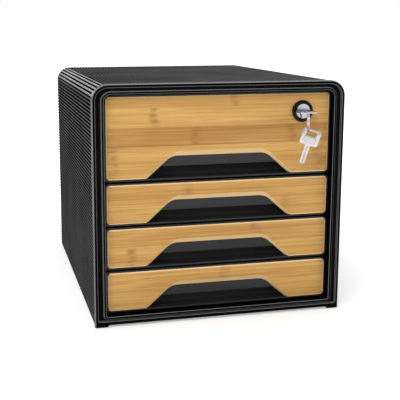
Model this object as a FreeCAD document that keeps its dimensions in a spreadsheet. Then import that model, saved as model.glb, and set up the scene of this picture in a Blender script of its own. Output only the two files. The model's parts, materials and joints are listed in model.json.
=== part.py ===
"""Desktop file drawer: a ribbed casing with four drawers faced in bamboo, the top one with a cam lock.

Frame: +Z up, the drawers open towards -Y, the origin at the middle of the footprint on the desk.
All lengths are millimetres. Every size lives in the spreadsheet and the pieces are bound to it.
"""

import FreeCAD, Part
import math
import os
import re

import Sketcher

V = FreeCAD.Vector

# Edges are picked by place within this tolerance, and a cut has to take away more than this volume.
PICK = 1e-4
LEAST_CUT = 1

# alias, value, what it measures
SIZES = [
    ("case_width", 288, "casing, outside"),
    ("case_depth", 360, "front rim to the back edge"),
    ("side_lift", 0.8, "underside of the side walls above the desk"),
    ("rail_lift", 3, "underside of the bottom rail above the desk"),
    ("corner_radius", 18, "outer top corners"),
    ("side_member", 13, "frame width beside the opening"),
    ("top_member", 10.9, "frame height above the opening"),
    ("bottom_member", 9, "frame height under the opening"),
    ("opening_radius", 8, "top corners of the opening"),
    ("opening_foot_radius", 2, "bottom corners of the opening"),
    ("frame_depth", 14, "frame, front to back"),
    ("rim_depth", 5, "frame's rim in front of the shell"),
    ("outer_bead", 4, "frame bead along the outside"),
    ("inner_bead", 2.8, "frame bead along the opening"),
    ("channel_depth", 3, "hollow between the beads"),
    ("channel_foot_radius", 2, "outer bottom corners of the hollow"),
    ("channel_round", 0.8, "rounding of the hollow's floor"),
    ("rim_round", 2.4, "rounding of the frame's outer front edge"),
    ("bead_round", 0.9, "rounding of the other bead edges"),
    ("foot_width", 14, "corner foot of the frame"),
    ("foot_slope", 2, "run of the foot's inner slope"),
    ("spigot_depth", 10, "tongue of the frame inside the shell"),
    ("spigot_wall", 2, "thickness of that tongue"),
    ("fit_gap", 0.2, "clearance of pieces that are slid together"),
    ("shell_inset", 0.4, "rib crests behind the frame's outline"),
    ("shell_wall", 2.4, "shell under the ribs"),
    ("rib_height", 0.7, "ribs above the shell wall"),
    ("rib_pitch", 4.2, "spacing of the ribs"),
    ("rib_crest", 1.5, "flat top of a rib"),
    ("rib_flank", 0.5, "run of a rib's sloped side"),
    ("base_lift", 3.2, "underside of the base panel, and height of the rubber feet"),
    ("base_wall", 2.6, "base panel"),
    ("back_wall", 3, "back panel"),
    ("back_recess", 2, "back panel behind the shell's rear edge"),
    ("foot_radius", 7, "rubber foot"),
    ("foot_inset_side", 19, "rubber foot's centre from the side"),
    ("foot_inset_front", 30, "rubber foot's centre from the front"),
    ("foot_inset_rear", 20, "rubber foot's centre from the rear"),
    ("runner_wall", 3, "side panel that carries the drawers"),
    ("ledge_reach", 5.5, "ledge under the tray"),
    ("ledge_height", 2.2, "ledge thickness"),
    ("guide_reach", 1.5, "guide over the tray's wall"),
    ("guide_height", 1.6, "guide thickness"),
    ("guide_gap", 0.4, "guide above the tray"),
    ("boss_depth", 12, "screw boss of a runner, along the screw"),
    ("boss_height", 8, "screw boss of a runner, across the screw"),
    ("boss_clearance", 1.3, "boss beside the tray"),
    ("small_front", 47.1, "height of a small drawer's front"),
    ("top_front", 94, "height of the top drawer's front"),
    ("front_gap", 2.2, "gap between two fronts"),
    ("end_gap", 1.6, "gap between the fronts and the opening, above and below"),
    ("side_gap", 0.6, "gap between a front and the opening, each side"),
    ("front_corner", 5, "corner radius of a front"),
    ("rim_setback", 9.6, "moulded rim of a front, behind the casing's front plane"),
    ("fascia_setback", 8, "bamboo face behind the casing's front plane"),
    ("fascia_wall", 4.8, "bamboo board"),
    ("fascia_corner", 4, "corner radius of the bamboo board"),
    ("fascia_edge", 0.6, "chamfer round the bamboo board"),
    ("fascia_gap", 0.3, "clearance of the bamboo board in its seat"),
    ("border_side", 2.3, "moulded border beside the bamboo"),
    ("border_top", 1.7, "moulded border over the bamboo"),
    ("border_bottom", 2.2, "moulded border under the bamboo"),
    ("plate_wall", 3, "moulded plate behind the bamboo"),
    ("cut_foot_half", 81.3, "half of the handle cutout at the board's bottom edge"),
    ("cut_head_half", 55, "half of the cutout where its slopes meet its top"),
    ("cut_height", 23.7, "handle cutout"),
    ("cut_radius", 20, "upper corners of the cutout"),
    ("bevel_side", 4, "cutout bevel along the slopes, measured sideways"),
    ("bevel_top", 5.8, "cutout bevel along the top"),
    ("cut_overrun", 1, "cutting shapes run this far past the piece"),
    ("mouth_height", 12.8, "finger mouth under the pull lip"),
    ("mouth_spread", 1.2, "finger mouth wider than the cutout, each side"),
    ("scoop_half", 84, "half width of the finger scoop"),
    ("scoop_depth", 21, "finger scoop behind the plate"),
    ("scoop_height", 28.1, "finger scoop, inside"),
    ("scoop_radius", 20, "hollow curve at the foot of the scoop"),
    ("scoop_roof_radius", 2, "hollow curve at the roof of the scoop"),
    ("scoop_wall", 2, "shell of the scoop"),
    ("lip_wall", 1.9, "lip under the finger mouth"),
    ("tray_side_gap", 1.5, "tray beside the opening"),
    ("tray_lift", 2.5, "tray above the underside of its front"),
    ("tray_wall", 2, "tray walls and floor"),
    ("tray_corner", 4, "tray's outer corners"),
    ("tray_rear_gap", 5, "tray in front of the back panel"),
    ("tray_headroom", 7.6, "tray rim below the top of its front"),
    ("notch_gap", 0.3, "tray cutout round the scoop"),
    ("drawer_travel", 240, "how far a drawer slides out"),
    ("stop_gap", 0.5, "left between a stop tab and the frame"),
    ("stop_reach", 4, "stop tab beside the tray"),
    ("stop_length", 8, "stop tab along the tray"),
    ("stop_height", 8, "stop tab"),
    ("screw_radius", 1.5, "shafts of the screws"),
    ("screw_gap", 0.05, "running clearance of a screw in its hole"),
    ("head_radius", 3, "screw heads"),
    ("head_height", 1.9, "screw heads"),
    ("front_screw_inset", 12.4, "front screws from the side of the front"),
    ("front_screw_foot", 12, "lower front screws above the underside of the front"),
    ("front_screw_head", 12, "upper front screws below the top of the front"),
    ("front_screw_bite", 3, "front screw in the bamboo"),
    ("case_screw_length", 10, "shaft of a base or back screw"),
    ("case_screw_inset", 9.5, "base and back screws from the side"),
    ("base_screw_front", 60, "front base screws from the front"),
    ("base_screw_rear", 60, "rear base screws from the rear"),
    ("back_screw_foot", 24, "lower back screws above the desk"),
    ("back_screw_head", 30, "upper back screws below the top"),
    ("lock_inset", 48.4, "lock axis from the casing's side"),
    ("lock_height", 72, "lock axis above the underside of the top drawer's front"),
    ("flange_radius", 12.2, "lock flange"),
    ("flange_height", 2.2, "lock flange in front of the bamboo"),
    ("flange_round", 0.9, "rounding of the lock flange"),
    ("barrel_radius", 9.5, "lock barrel"),
    ("barrel_length", 20.5, "lock barrel behind the flange"),
    ("barrel_gap", 0.1, "clearance round the barrel"),
    ("nut_radius", 13.8, "lock nut across its corners"),
    ("nut_height", 3.5, "lock nut"),
    ("plug_radius", 8.1, "lock plug"),
    ("plug_gap", 0.05, "running clearance of plug, key and cam"),
    ("plug_proud", 0.6, "plug in front of the flange"),
    ("shank_side", 7, "square shank of the plug"),
    ("shank_length", 2.2, "square shank of the plug"),
    ("keyway_depth", 22, "keyway in the plug"),
    ("cam_gap", 0.2, "cam behind the plug's shoulder"),
    ("cam_wall", 2, "cam plate"),
    ("cam_reach", 28, "cam from the lock axis to its tip"),
    ("cam_width", 12, "cam plate"),
    ("cam_screw_radius", 1.6, "shaft of the cam screw"),
    ("cam_head_radius", 4.6, "head of the cam screw"),
    ("cam_head_height", 2, "head of the cam screw"),
    ("cam_screw_length", 2.6, "cam screw in the plug"),
    ("strike_gap", 0.6, "strike in front of the cam"),
    ("strike_half", 12, "half width of the strike"),
    ("strike_wall", 2, "strike plate"),
    ("strike_drop", 0.5, "strike below the opening's top edge"),
    ("bow_width", 20.5, "key bow"),
    ("bow_length", 18.2, "key bow"),
    ("bow_round", 3, "corners of the key bow"),
    ("bow_strip", 2.4, "strip between the bow's end and its slot"),
    ("slot_width", 12, "slot in the bow, across the key"),
    ("slot_length", 5.2, "slot in the bow, along the key"),
    ("slot_round", 0.6, "corners of the slot"),
    ("key_wall", 1.6, "key thickness"),
    ("blade_width", 5.6, "key blade"),
    ("blade_length", 21.8, "key blade"),
    ("blade_taper", 1.6, "pointed tip of the blade"),
    ("groove_width", 1.3, "groove along the blade"),
    ("groove_depth", 0.5, "groove along the blade"),
    ("key_standoff", 4.9, "shoulder of the inserted key behind the casing's front plane"),
    ("ring_radius", 11.3, "key ring, to the middle of its wire"),
    ("wire_radius", 0.55, "wire of the key ring"),
    ("wire_spread", 0.5, "middle of each turn of the wire from the ring's middle"),
    ("ring_shift", 1.2, "ring beside the middle of the bow"),
    ("ring_pull", 3, "ring's middle in front of the strip that carries it, along the ring"),
    ("ring_drop", 8.5, "ring's middle below the inserted key"),
    ("ring_slack", 0.3, "spare key clear of the ring"),
    ("ring_yaw", 20, "turn of the ring about the vertical, degrees"),
    ("spare_lean", 17, "lean of the spare key as it hangs, degrees"),
]

# Small drawers under the tall one; drawer 1 is the top one.
SMALL_DRAWERS = 3
DRAWERS = range(1, SMALL_DRAWERS + 2)
SIDES = {"left": -1, "right": 1}

doc = FreeCAD.newDocument("desktop_file_drawer")
sheet = doc.addObject("Spreadsheet::Sheet", "Sizes")
for row, (alias, value, note) in enumerate(SIZES, start=1):
    sheet.set(f"A{row}", str(value))
    sheet.setAlias(f"A{row}", alias)
    sheet.set(f"B{row}", note)
doc.recompute()


# ---------------------------------------------------------------- derived sizes, as formulas

HALF = "(case_width / 2)"
OPENING_HALF = "(case_width / 2 - side_member)"
OPENING_FOOT = "(rail_lift + bottom_member)"
SMALL_PITCH = "(small_front + front_gap)"
OPENING_HEAD = f"({OPENING_FOOT} + 2 * end_gap + {SMALL_DRAWERS} * {SMALL_PITCH} + top_front)"
CASE_TOP = f"({OPENING_HEAD} + top_member)"

# The ring is the foremost piece, so it and the casing's rear edge set the middle of the footprint.
STRIP_SETBACK = "(key_standoff - bow_length + bow_strip / 2)"
RING_SPAN = "((ring_radius + ring_pull) * cos(ring_yaw) + wire_spread * sin(ring_yaw) + wire_radius)"
RING_REACH = f"({RING_SPAN} - {STRIP_SETBACK})"
FRONT = f"(({RING_REACH} - case_depth) / 2)"

SHELL_OUTER = "(shell_inset + rib_height)"
SHELL_INNER = f"({SHELL_OUTER} + shell_wall)"
INSIDE = f"({SHELL_INNER} + fit_gap)"
SHELL_FRONT = f"({FRONT} + rim_depth)"
FRAME_BACK = f"({FRONT} + frame_depth)"
BACK_FACE = f"({FRONT} + case_depth - back_recess)"
BACK_INNER = f"({BACK_FACE} - back_wall)"
BASE_TOP = "(base_lift + base_wall)"

FRONT_HALF = f"({OPENING_HALF} - side_gap)"
BOARD_FACE = f"({FRONT} + fascia_setback)"
PLATE_FACE = "(fascia_setback + fascia_wall)"
PLATE_BACK = f"({PLATE_FACE} + plate_wall)"
BOARD_HALF = f"({FRONT_HALF} - border_side)"
SCOOP_BACK = f"({PLATE_BACK} + scoop_depth)"
CUT_RUN = "((cut_foot_half - cut_head_half) / cut_height)"
TRAY_HALF = f"({OPENING_HALF} - tray_side_gap)"

LOCK_X = f"({HALF} - lock_inset)"
LOCK_Z = f"({OPENING_HEAD} - end_gap - top_front + lock_height)"
FLANGE_FACE = "(fascia_setback - flange_height)"
BARREL_END = "(fascia_setback + barrel_length)"
CAM_FACE = f"({BARREL_END} + plug_gap + cam_gap)"
SCREW_BORE = "(screw_radius + screw_gap)"
SCREW_TIP = f"({FRONT} + {PLATE_FACE} - front_screw_bite)"
SCREW_HEAD = f"({FRONT} + {PLATE_BACK} + tray_wall)"


def formula(text):
    """Put the spreadsheet's name in front of every size in a formula."""
    return re.sub(r"\b([a-z]+(?:_[a-z]+)+)\b", r"Sizes.\1", text)


def number(text):
    """Value of a formula."""
    result = sheet.evalExpression(formula(text))
    return float(getattr(result, "Value", result))


def bind(item, **formulas):
    """Bind properties of an object to formulas; x, y and z stand for its place."""
    for name, text in formulas.items():
        path = f".Placement.Base.{name}" if name in ("x", "y", "z") else name
        item.setExpression(path, formula(text))
    return item


# ---------------------------------------------------------------- building blocks


def label(item, name):
    """Name a finished sub-part."""
    item.Label = name
    return item


def box(name, low, high):
    """Box between two corners, each given as three formulas."""
    item = doc.addObject("Part::Box", name)
    spans = [f"({b}) - ({a})" for a, b in zip(low, high)]
    bind(item, Length=spans[0], Width=spans[1], Height=spans[2], x=low[0], y=low[1], z=low[2])
    return item


TURNS = {
    "x": FreeCAD.Rotation(V(0, 1, 0), 90),
    "y": FreeCAD.Rotation(V(1, 0, 0), -90),
    "z": FreeCAD.Rotation(),
}


def rod(name, axis, radius, length, at, kind="Part::Cylinder"):
    """Cylinder (or hexagonal prism) that starts at a point and runs along +X, +Y or +Z."""
    item = doc.addObject(kind, name)
    item.Placement = FreeCAD.Placement(V(), TURNS[axis])
    size = "Radius" if kind == "Part::Cylinder" else "Circumradius"
    return bind(item, Height=length, x=at[0], y=at[1], z=at[2], **{size: radius})


def fuse(name, pieces):
    """One solid made of several that touch or overlap."""
    item = doc.addObject("Part::MultiFuse", name)
    item.Shapes = pieces
    return item


def group(name, pieces):
    """Several separate solids that share a node."""
    item = doc.addObject("Part::Compound", name)
    item.Links = pieces
    return item


def cut(name, base, tools):
    """Base minus every tool."""
    item = doc.addObject("Part::Cut", name)
    item.Base = base
    item.Tool = tools[0] if len(tools) == 1 else fuse(f"{name}_tools", tools)
    return item


def body(name, **place):
    """PartDesign body with its origin at the given place."""
    item = doc.addObject("PartDesign::Body", name)
    return bind(item, **place)


def corner_arc(before, corner, after, radius):
    """Tangent arc in a corner: its centre, its two ends and whether the outline turns left there."""
    back = (before - corner).normalize()
    ahead = (after - corner).normalize()
    half = back.getAngle(ahead) / 2
    centre = corner + (back + ahead).normalize() * (radius / math.sin(half))
    run = radius / math.tan(half)
    left_turn = (corner - before).cross(after - corner).z > 0
    return centre, corner + back * run, corner + ahead * run, left_turn


def fix_point(sketch, index, vertex, across, up):
    """Hold a point of a sketch at two formulas."""
    for kind, text in (("DistanceX", across), ("DistanceY", up)):
        constraint = Sketcher.Constraint(kind, -1, 1, index, vertex, number(text))
        sketch.setExpression(f"Constraints[{sketch.addConstraint(constraint)}]", formula(text))


def rounded_corner(sketch, corner, lines, arc_data, radius, formulas):
    """Tangent arc between two lines, with the sharp corner kept as a construction point."""
    centre, start, end, left_turn = arc_data
    first, last = (start, end) if left_turn else (end, start)
    angles = [math.atan2(p.y - centre.y, p.x - centre.x) for p in (first, last)]
    circle = Part.Circle(centre, V(0, 0, 1), radius)
    arc = sketch.addGeometry(Part.ArcOfCircle(circle, *angles), False)
    point = sketch.addGeometry(Part.Point(corner), True)
    heads = (1, 2) if left_turn else (2, 1)
    sketch.addConstraint(Sketcher.Constraint("Tangent", lines[0], 2, arc, heads[0]))
    sketch.addConstraint(Sketcher.Constraint("Tangent", arc, heads[1], lines[1], 1))
    for line in lines:
        sketch.addConstraint(Sketcher.Constraint("PointOnObject", point, 1, line))
    fix_point(sketch, point, 1, formulas[0], formulas[1])
    index = sketch.addConstraint(Sketcher.Constraint("Radius", arc, radius))
    sketch.setExpression(f"Constraints[{index}]", formula(formulas[2]))


def add_loop(sketch, corners):
    """Closed outline through corners given as (across, up) or (across, up, radius) formulas."""
    points = [V(number(c[0]), number(c[1]), 0) for c in corners]
    count = len(corners)
    arcs = {}
    for i, corner in enumerate(corners):
        if len(corner) == 3:
            radius = number(corner[2])
            arcs[i] = corner_arc(points[i - 1], points[i], points[(i + 1) % count], radius)
    lines = []
    for i in range(count):
        after = (i + 1) % count
        start = arcs[i][2] if i in arcs else points[i]
        end = arcs[after][1] if after in arcs else points[after]
        lines.append(sketch.addGeometry(Part.LineSegment(start, end), False))
    for i, corner in enumerate(corners):
        pair = (lines[i - 1], lines[i])
        if i in arcs:
            rounded_corner(sketch, points[i], pair, arcs[i], number(corner[2]), corner)
        else:
            sketch.addConstraint(Sketcher.Constraint("Coincident", pair[0], 2, pair[1], 1))
            fix_point(sketch, pair[1], 1, corner[0], corner[1])


def sketch_on(owner, name, plane, loops, offset=None):
    """Sketch of closed outlines on one of the body's origin planes, moved along its normal."""
    sketch = owner.newObject("Sketcher::SketchObject", name)
    support = [f for f in owner.Origin.OriginFeatures if f.Role == plane][0]
    sketch.AttachmentSupport = (support, "")
    sketch.MapMode = "FlatFace"
    if offset:
        sketch.setExpression(".AttachmentOffset.Base.z", formula(offset))
    for corners in loops:
        add_loop(sketch, corners)
    return sketch


def feature(owner, kind, name, sketch, length, reverse=False, symmetric=False):
    """Pad or Pocket of a sketch."""
    item = owner.newObject(f"PartDesign::{kind}", name)
    item.Profile = sketch
    item.Reversed = reverse
    if symmetric:
        item.SideType = "Symmetric"
    item.setExpression("Length", formula(length))
    sketch.Visibility = False
    doc.recompute()
    return item


def edge_names(shape, wanted):
    """Names of the edges that a test picks out."""
    return [f"Edge{i}" for i, edge in enumerate(shape.Edges, start=1) if wanted(edge)]


def dress(owner, kind, name, base, edges, size):
    """Fillet or Chamfer of named edges."""
    item = owner.newObject(f"PartDesign::{kind}", name)
    item.Base = (base, edges)
    item.setExpression("Radius" if kind == "Fillet" else "Size", formula(size))
    doc.recompute()
    return item


def on_plane(axis, place):
    """Test for edges that lie in a plane across one axis."""
    def test(edge):
        low, high = getattr(edge.BoundBox, f"{axis}Min"), getattr(edge.BoundBox, f"{axis}Max")
        return abs(low - place) < PICK and abs(high - place) < PICK
    return test


def rectangle(half, foot, head, radius=None):
    """Corners of an upright rectangle centred across, with one radius for all corners."""
    tail = (radius,) if radius else ()
    return [
        (f"-({half})", foot) + tail,
        (half, foot) + tail,
        (half, head) + tail,
        (f"-({half})", head) + tail,
    ]


def arch(half, foot, head, radius, foot_radius=None):
    """Corners of an upright rectangle whose top corners are rounder than its bottom ones."""
    tail = (foot_radius,) if foot_radius else ()
    return [
        (f"-({half})", foot) + tail,
        (half, foot) + tail,
        (half, head, radius),
        (f"-({half})", head, radius),
    ]


# ---------------------------------------------------------------- casing


def make_frame():
    """Moulded bezel: outer bead, hollow channel, inner bead, corner feet and the spigot."""
    frame = body("front_frame_body", y=FRONT)
    foot_inner = f"({HALF} - foot_width)"
    slope_end = f"({foot_inner} - foot_slope)"
    outline = [
        (f"-{HALF}", "side_lift"),
        (f"-{foot_inner}", "side_lift"),
        (f"-{slope_end}", "rail_lift"),
        (slope_end, "rail_lift"),
        (foot_inner, "side_lift"),
        (HALF, "side_lift"),
        (HALF, CASE_TOP, "corner_radius"),
        (f"-{HALF}", CASE_TOP, "corner_radius"),
    ]
    opening = arch(OPENING_HALF, OPENING_FOOT, OPENING_HEAD, "opening_radius", "opening_foot_radius")
    ring = sketch_on(frame, "frame_outline", "XZ_Plane", [outline, opening])
    bar = feature(frame, "Pad", "frame_bar", ring, "rim_depth", reverse=True)

    channel_out = arch(
        f"({HALF} - outer_bead)",
        "(rail_lift + outer_bead)",
        f"({CASE_TOP} - outer_bead)",
        "(corner_radius - outer_bead)",
        "channel_foot_radius",
    )
    channel_in = arch(
        f"({OPENING_HALF} + inner_bead)",
        f"({OPENING_FOOT} - inner_bead)",
        f"({OPENING_HEAD} + inner_bead)",
        "(opening_radius + inner_bead)",
        "(opening_foot_radius + inner_bead)",
    )
    groove = sketch_on(frame, "channel_outline", "XZ_Plane", [channel_out, channel_in])
    channel = feature(frame, "Pocket", "frame_channel", groove, "channel_depth")
    assert channel.Shape.Volume < bar.Shape.Volume - LEAST_CUT

    spigot_half = f"({HALF} - {INSIDE})"
    spigot_head = f"({CASE_TOP} - {INSIDE})"
    spigot_radius = f"(corner_radius - {INSIDE})"
    inner_half = f"({spigot_half} - spigot_wall)"
    inner_head = f"({spigot_head} - spigot_wall)"
    inner_radius = f"({spigot_radius} - spigot_wall)"
    foot = f"({BASE_TOP} + fit_gap)"
    neck = arch(spigot_half, foot, spigot_head, spigot_radius)
    sketch = sketch_on(frame, "neck_outline", "XZ_Plane", [neck, opening], "-rim_depth")
    feature(frame, "Pad", "frame_neck", sketch, "(frame_depth - rim_depth)", reverse=True)
    tongue = [
        (f"-{spigot_half}", foot),
        (f"-{inner_half}", foot),
        (f"-{inner_half}", inner_head, inner_radius),
        (inner_half, inner_head, inner_radius),
        (inner_half, foot),
        (spigot_half, foot),
        (spigot_half, spigot_head, spigot_radius),
        (f"-{spigot_half}", spigot_head, spigot_radius),
    ]
    spigot = sketch_on(frame, "spigot_outline", "XZ_Plane", [tongue], "-frame_depth")
    bar = feature(frame, "Pad", "frame_spigot", spigot, "spigot_depth", reverse=True)
    round_frame(frame, bar)
    return label(frame, "front_frame")


def round_frame(frame, base):
    """Round the outer front edge more than the edges of the beads."""
    half = number(HALF)
    in_front = on_plane("Y", number(FRONT) - frame.Placement.Base.y)
    floor = on_plane("Y", number("channel_depth"))

    def outer(edge):
        span = edge.BoundBox
        high = span.ZMax > number(f"{CASE_TOP} - outer_bead / 2")
        wide = max(abs(span.XMin), abs(span.XMax)) > half - PICK
        return in_front(edge) and (high or wide) and span.ZMax > number("rail_lift") + PICK

    def bead(edge):
        span = edge.BoundBox
        within = max(abs(span.XMin), abs(span.XMax)) < half - number("outer_bead") + PICK
        return in_front(edge) and within and span.ZMin > number("rail_lift") + PICK

    shape = base
    rounds = {"outer": (outer, "rim_round"), "bead": (bead, "bead_round"), "floor": (floor, "channel_round")}
    for name, (wanted, radius) in rounds.items():
        shape = dress(frame, "Fillet", f"{name}_rounds", shape, edge_names(shape.Shape, wanted), radius)


def rib_profile():
    """Ribbed outline of the shell: up the left side, over the top, down the right side."""
    half = number(f"{HALF} - {SHELL_OUTER}")
    foot = number("side_lift")
    head = number(f"{CASE_TOP} - {SHELL_OUTER}")
    radius = number(f"corner_radius - {SHELL_OUTER}")
    side = head - radius - foot
    quarter = radius * math.pi / 2
    top = 2 * (half - radius)
    total = 2 * side + 2 * quarter + top

    def at(run, rise):
        """Point at a run along the outline, raised above it."""
        if run > total / 2:
            mirrored = at(total - run, rise)
            return V(-mirrored.x, 0, mirrored.z)
        if run <= side:
            return V(-half - rise, 0, foot + run)
        if run <= side + quarter:
            angle = (run - side) / radius
            reach = radius + rise
            return V(-half + radius - reach * math.cos(angle), 0, head - radius + reach * math.sin(angle))
        return V(-half + radius + run - side - quarter, 0, head + rise)

    pitch, flank, crest, rise = (number(n) for n in ("rib_pitch", "rib_flank", "rib_crest", "rib_height"))
    rib = 2 * flank + crest
    count = int((total - rib) // pitch) + 1
    start = (total - (count - 1) * pitch - rib) / 2
    points = [at(0, 0)]
    for index in range(count):
        run = start + index * pitch
        steps = ((0, 0), (flank, rise), (flank + crest, rise), (rib, 0))
        points += [at(run + ahead, up) for ahead, up in steps]
    return points + [at(total, 0)]


def make_shell():
    """Ribbed U of the casing: both sides and the top in one piece."""
    half = number(f"{HALF} - {SHELL_INNER}")
    foot = number("side_lift")
    head = number(f"{CASE_TOP} - {SHELL_INNER}")
    radius = number(f"corner_radius - {SHELL_INNER}")
    turn = radius * math.sqrt(0.5)
    outer = Part.makePolygon(rib_profile())
    right_foot, left_foot = V(half, 0, foot), V(-half, 0, foot)
    right_bend, left_bend = V(half, 0, head - radius), V(-half, 0, head - radius)
    right_top, left_top = V(half - radius, 0, head), V(radius - half, 0, head)
    inner = [
        Part.makeLine(outer.Vertexes[-1].Point, right_foot),
        Part.makeLine(right_foot, right_bend),
        Part.Arc(right_bend, V(half - radius + turn, 0, head - radius + turn), right_top).toShape(),
        Part.makeLine(right_top, left_top),
        Part.Arc(left_top, V(radius - half - turn, 0, head - radius + turn), left_bend).toShape(),
        Part.makeLine(left_bend, left_foot),
        Part.makeLine(left_foot, outer.Vertexes[0].Point),
    ]
    wire = Part.Wire(Part.__sortEdges__(outer.Edges + inner))
    depth = number(f"{FRONT} + case_depth - {SHELL_FRONT}")
    shell = doc.addObject("Part::Feature", "casing_shell")
    shell.Shape = Part.Face(wire).extrude(V(0, depth, 0))
    shell.Placement = FreeCAD.Placement(V(0, number(SHELL_FRONT), 0), FreeCAD.Rotation())
    return shell


def make_base():
    """Flat base panel between the side walls, with its screw holes."""
    low = (f"-({HALF} - {INSIDE})", f"{SHELL_FRONT} + fit_gap", "base_lift")
    high = (f"{HALF} - {INSIDE}", BACK_FACE, BASE_TOP)
    depth = "(base_wall + 2 * cut_overrun)"
    holes = [
        rod(f"base_hole_{i}", "z", SCREW_BORE, depth, (x, y, "base_lift - cut_overrun"))
        for i, (x, y) in enumerate(base_screw_places())
    ]
    return label(cut("base_panel_cut", box("base_plate", low, high), holes), "base_panel")


def make_back():
    """Back panel: it fills the shell's rear, a little behind its edge."""
    panel = body("back_panel_body", y=BACK_INNER)
    head = f"({CASE_TOP} - {INSIDE})"
    outline = arch(f"({HALF} - {INSIDE})", BASE_TOP, head, f"(corner_radius - {INSIDE})")
    sketch = sketch_on(panel, "back_outline", "XZ_Plane", [outline])
    feature(panel, "Pad", "back_plate", sketch, "back_wall", reverse=True)
    start = f"({BACK_INNER} - cut_overrun)"
    depth = "(back_wall + 2 * cut_overrun)"
    holes = [
        rod(f"back_hole_{i}", "y", SCREW_BORE, depth, (x, start, z))
        for i, (x, z) in enumerate(back_screw_places())
    ]
    return label(cut("back_panel_cut", panel, holes), "back_panel")


def base_screw_places():
    """Centres of the base screws, as (x, y) formulas."""
    rows = (f"({FRONT} + base_screw_front)", f"({FRONT} + case_depth - base_screw_rear)")
    return [(f"{side} * ({HALF} - case_screw_inset)", y) for side in SIDES.values() for y in rows]


def back_screw_places():
    """Centres of the back screws, as (x, z) formulas."""
    rows = ("back_screw_foot", f"({CASE_TOP} - back_screw_head)")
    return [(f"{side} * ({HALF} - case_screw_inset)", z) for side in SIDES.values() for z in rows]


def make_case_screws():
    """Base screws point up, back screws point forwards; both enter the runners' bosses."""
    base, back = [], []
    for i, (x, y) in enumerate(base_screw_places()):
        under = (x, y, "base_lift - head_height")
        head = rod(f"base_head_{i}", "z", "head_radius", "head_height", under)
        shaft = rod(f"base_shaft_{i}", "z", "screw_radius", "case_screw_length", (x, y, "base_lift"))
        base.append(fuse(f"base_screw_{i}", [head, shaft]))
    for i, (x, z) in enumerate(back_screw_places()):
        tip = (x, f"{BACK_FACE} - case_screw_length", z)
        head = rod(f"back_head_{i}", "y", "head_radius", "head_height", (x, BACK_FACE, z))
        shaft = rod(f"back_shaft_{i}", "y", "screw_radius", "case_screw_length", tip)
        back.append(fuse(f"back_screw_{i}", [head, shaft]))
    return [group("base_screws", base), group("back_screws", back)]


def tray_foot(drawer):
    """Underside of a drawer's tray."""
    return f"({front_foot(drawer)} + tray_lift)"


def tray_head(drawer):
    """Rim of a drawer's tray."""
    return f"({front_foot(drawer)} + {front_height(drawer)} - tray_headroom)"


def front_foot(drawer):
    """Underside of a drawer's front."""
    below = SMALL_DRAWERS + 1 - drawer
    return f"({OPENING_FOOT} + end_gap + {below} * {SMALL_PITCH})"


def front_height(drawer):
    """Height of a drawer's front."""
    return "top_front" if drawer == 1 else "small_front"


def sided_box(name, side, inner, outer, y_span, z_span):
    """Box on one side of the casing, from an inner to an outer distance from the middle."""
    low, high = (f"-({outer})", f"-({inner})") if side < 0 else (inner, outer)
    return box(name, (low, y_span[0], z_span[0]), (high, y_span[1], z_span[1]))


def make_runner(name, side):
    """Side panel with a ledge and an upper guide for every drawer, and bosses for the screws."""
    outer = f"({HALF} - {INSIDE})"
    inner = f"({outer} - runner_wall)"
    rear = f"({BACK_INNER} - fit_gap)"
    plate_front = f"({FRAME_BACK} + spigot_depth + fit_gap)"
    head = f"({CASE_TOP} - corner_radius)"
    pieces = [sided_box(f"{name}_plate", side, inner, outer, (plate_front, rear), (BASE_TOP, head))]
    rail_span = (f"({FRONT} + {PLATE_BACK} + fit_gap)", rear)
    ledge_inner = f"({TRAY_HALF} - ledge_reach)"
    guide_inner = f"({TRAY_HALF} - guide_reach)"
    for drawer in DRAWERS:
        ledge_top = f"({tray_foot(drawer)} - fit_gap)"
        ledge = (f"({ledge_top} - ledge_height)", ledge_top)
        guide_foot = f"({tray_head(drawer)} + guide_gap)"
        guide = (guide_foot, f"({guide_foot} + guide_height)")
        pieces.append(sided_box(f"{name}_ledge_{drawer}", side, ledge_inner, inner, rail_span, ledge))
        pieces.append(sided_box(f"{name}_guide_{drawer}", side, guide_inner, inner, rail_span, guide))
    boss_inner = f"({TRAY_HALF} + boss_clearance)"
    boss_front = f"({rear} - boss_depth)"
    holes = []
    for i, (x, z) in enumerate(p for p in back_screw_places() if side * number(p[0]) > 0):
        span = (f"({z} - boss_height / 2)", f"({z} + boss_height / 2)")
        boss = sided_box(f"{name}_back_boss_{i}", side, boss_inner, inner, (boss_front, rear), span)
        bore = rod(f"{name}_back_bore_{i}", "y", SCREW_BORE, "boss_depth", (x, boss_front, z))
        pieces.append(boss)
        holes.append(bore)
    lift = (BASE_TOP, f"({tray_foot(SMALL_DRAWERS + 1)} - fit_gap - ledge_height)")
    for i, (x, y) in enumerate(p for p in base_screw_places() if side * number(p[0]) > 0):
        span = (f"({y} - boss_height / 2)", f"({y} + boss_height / 2)")
        boss = sided_box(f"{name}_base_boss_{i}", side, boss_inner, inner, span, lift)
        bore = rod(f"{name}_base_bore_{i}", "z", SCREW_BORE, "case_screw_length", (x, y, "base_lift"))
        pieces.append(boss)
        holes.append(bore)
    return label(cut(f"{name}_cut", fuse(f"{name}_solid", pieces), holes), name)


def make_strike():
    """Steel angle behind the top member; the lock's cam rises behind its hanging leg."""
    low_x, high_x = f"({LOCK_X} - strike_half)", f"({LOCK_X} + strike_half)"
    front = f"({FRAME_BACK} + fit_gap)"
    rear = f"({FRONT} + {CAM_FACE} - strike_gap)"
    head = f"({CASE_TOP} - {INSIDE} - spigot_wall - fit_gap)"
    leg_foot = f"({OPENING_HEAD} - strike_drop)"
    shelf = box("strike_shelf", (low_x, front, f"({head} - strike_wall)"), (high_x, rear, head))
    leg = box("strike_leg", (low_x, f"({rear} - strike_wall)", leg_foot), (high_x, rear, head))
    return label(fuse("lock_strike_angle", [shelf, leg]), "lock_strike")


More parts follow.
